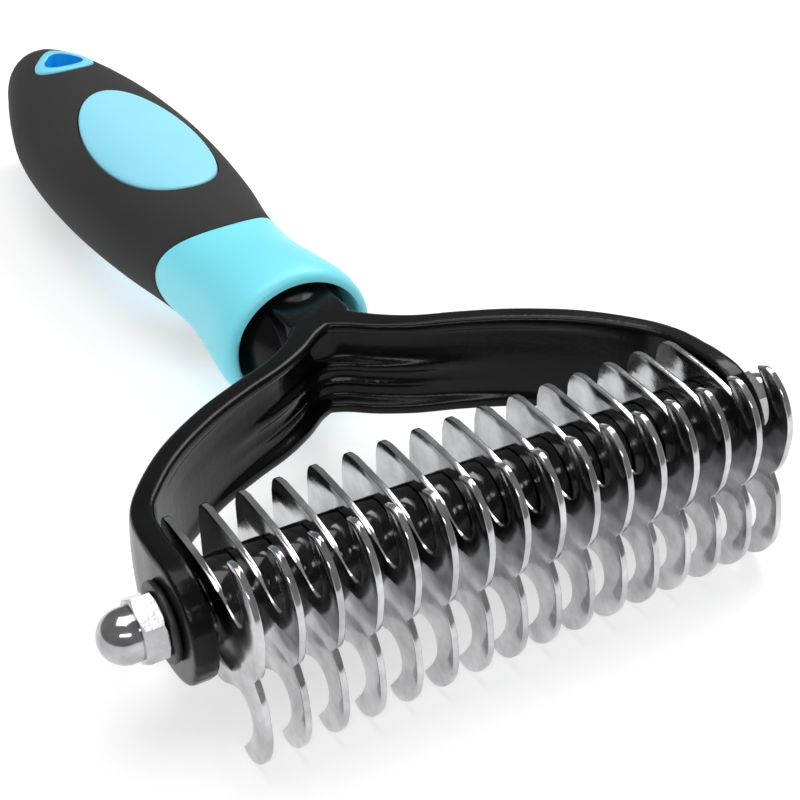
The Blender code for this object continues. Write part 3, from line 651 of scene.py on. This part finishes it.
# Grip: dark grey matt rubber from the collar to the handle's far end. It swells for the palm, and is cut for
# the two thumb pads and the hang eyelet, so it is only finished once they are made.
grip_rubber = finish_material("grip_rubber", (0.034, 0.034, 0.035), (0.040, 0.040, 0.041), (0.70, 0.80),
                              0.020, patch_scale=40.0, grain_scale=2200.0, Specular_IOR_Level=0.2)
grip_start = COLLAR_END + JOINT_GAP
grip_length = HANDLE_END - grip_start
grip_rings = [handle_ring(grip_start, inset, JOINT_BOW) for inset in reversed(JOINT_INSETS)]
grip_shares = [0.004] + [step / 44 for step in range(1, 40)]
grip_shares += [0.92, 0.94, 0.955, 0.97, 0.98, 0.988, 0.995, 1.0]
grip_rings += [handle_ring(grip_start + grip_length * share, 0.0, JOINT_BOW * (1 - ease(0.0, 0.35, share)))
               for share in grip_shares]
grip_mesh = loft(grip_rings)

# Thumb pads: soft light blue ovals let into the grip, one above and one below. Each stands a little proud of
# the rubber and has a thin dark seam round it.
PAD_CENTER = 102.0
PAD_HALF_LENGTH = 20.0
PAD_HALF_WIDTH = 9.2
PAD_DEPTH = 1.4
PAD_GAP = 0.3
PAD_PROUD = 0.30
PAD_SEAM = 0.25
POCKET_TOP = 4.0


def skin_height(x, along):
    """Height of the handle's skin over its axis."""
    width, height = handle_size(along)
    return height * math.sqrt(max(0.0, 1 - (x / width) ** 2))


def pad_mesh(side, grow, rows):
    """An oval along the grip's skin, through rows of (height over the skin, share of the oval's size)."""
    rings = []
    for level, share in rows:
        ring = []
        for step in range(96):
            angle = math.tau * step / 96
            x = share * (PAD_HALF_WIDTH + grow) * math.cos(angle)
            y = PAD_CENTER + share * (PAD_HALF_LENGTH + grow) * math.sin(angle)
            ring.append(Vector((x, y, side * (skin_height(x, y) + level))))
        rings.append(ring)
    return loft(rings)


oval_shares = (0.02, 0.3, 0.6, 0.85, 1.0)
pocket_rows = [(-PAD_DEPTH, share) for share in oval_shares]
pocket_rows += [(POCKET_TOP, share) for share in reversed(oval_shares)]
pad_rows = [(PAD_GAP - PAD_DEPTH, share) for share in oval_shares]
pad_rows += [(-0.12, 1.0), (0.10, 0.995), (0.22, 0.985), (0.28, 0.965)]
pad_rows += [(PAD_PROUD, share) for share in (0.9, 0.75, 0.6, 0.45, 0.3, 0.15, 0.02)]
pad_blue = finish_material("pad_blue", (0.28, 0.74, 0.92), (0.31, 0.78, 0.96), (0.50, 0.58), 0.008,
                           patch_scale=35.0, grain_scale=2000.0)
for side, name in ((1, "top"), (-1, "bottom")):
    grip_mesh = cut(grip_mesh, pad_mesh(side, PAD_SEAM, pocket_rows))
    pad = finish_mesh("soft_thumb_pad_" + name, place_on_rod(pad_mesh(side, 0.0, pad_rows)), pad_blue, 40)
    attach(pad, "frame")
    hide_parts("thumb_pad_" + name)

# Hang eyelet: a light blue teardrop bush right through the grip's end. Its bore is the same light blue piece,
# but it is painted a deeper blue as painted shade inside the hole. Its two faces follow the grip's skin and
# stand a little proud of it.
EYELET_CENTER = 140.4
EYELET_RADIUS = 5.4
EYELET_TAIL = 7.66
HOLE_RADIUS = 3.5
HOLE_TAIL = 4.9
EYELET_EDGE = 0.35
EYELET_GAP = 0.2
EYELET_PROUD = 0.3
SHADED_BORE_REACH = 4.4
eyelet_low, eyelet_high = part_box("hang_eyelet")
eyelet_half = (eyelet_high.z - eyelet_low.z) / 2 / MILLIMETRE


def teardrop(radius, tail, grow=0.0):
    """Knots of a teardrop whose point looks towards the handle's end."""
    touch = math.degrees(math.acos(radius / tail))
    size = radius + grow
    knots = [("A", size * math.cos(math.radians(angle)), EYELET_CENTER + size * math.sin(math.radians(angle)))
             for angle in range(round(90 + touch), round(451 - touch), 20)]
    tip = EYELET_CENTER + tail + grow - 0.15
    return knots + [("A", 0.35, tip), ("A", -0.35, tip)]


eyelet_blue = finish_material("eyelet_blue", (0.22, 0.74, 0.93), (0.25, 0.78, 0.97), (0.36, 0.44), 0.006,
                              patch_scale=35.0, grain_scale=1600.0)
# Painted shade: a deeper blue for the bore's wall, standing in for the shade inside the hole.
painted_shade_bore_blue = finish_material("painted_shade_bore_blue", (0.0, 0.36, 0.88), (0.01, 0.42, 0.95), (0.30, 0.40), 0.006,
                            patch_scale=60.0, grain_scale=1600.0)
eyelet_loops = [teardrop(EYELET_RADIUS, EYELET_TAIL), teardrop(HOLE_RADIUS, HOLE_TAIL)]
eyelet_mesh = outline_curve("eyelet", eyelet_loops, eyelet_half, EYELET_EDGE, 10)
for vert in eyelet_mesh.vertices:
    x, along, level = vert.co / MILLIMETRE
    drop = eyelet_half - (skin_height(x, along) + EYELET_PROUD)
    vert.co.z -= math.copysign(drop, level) * MILLIMETRE
hole_loops = [teardrop(EYELET_RADIUS, EYELET_TAIL, EYELET_GAP)]
grip_mesh = cut(grip_mesh, outline_curve("eyelet_hole", hole_loops, eyelet_half + 6, 0.01, 10))
grip = finish_mesh("rubber_grip", place_on_rod(grip_mesh), grip_rubber, 40)
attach(grip, "frame")
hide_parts("handle_grip")
eyelet = finish_mesh("teardrop_eyelet", place_on_rod(eyelet_mesh), eyelet_blue, 40)
eyelet.data.materials.append(painted_shade_bore_blue)
# Sideways-facing faces near the hole's middle take the deeper blue of painted shade.
for face in eyelet.data.polygons:
    reach = math.hypot(face.center.x, face.center.y - rod_middle.y - (EYELET_CENTER + 0.5) * MILLIMETRE)
    if reach < SHADED_BORE_REACH * MILLIMETRE and abs(face.normal.z) < 0.3:
        face.material_index = 1
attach(eyelet, "frame")
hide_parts("hang_eyelet")

# Handle core: the hard plastic body that holds the yoke's tang, inside the collar and grip. It is hidden, so it
# keeps its plain shape and only takes a colour.
core_plastic = finish_material("core_plastic", (0.06, 0.20, 0.34), (0.08, 0.24, 0.40), (0.45, 0.55), 0.010)
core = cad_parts["handle_core"]
core.data.materials.clear()
core.data.materials.append(core_plastic)
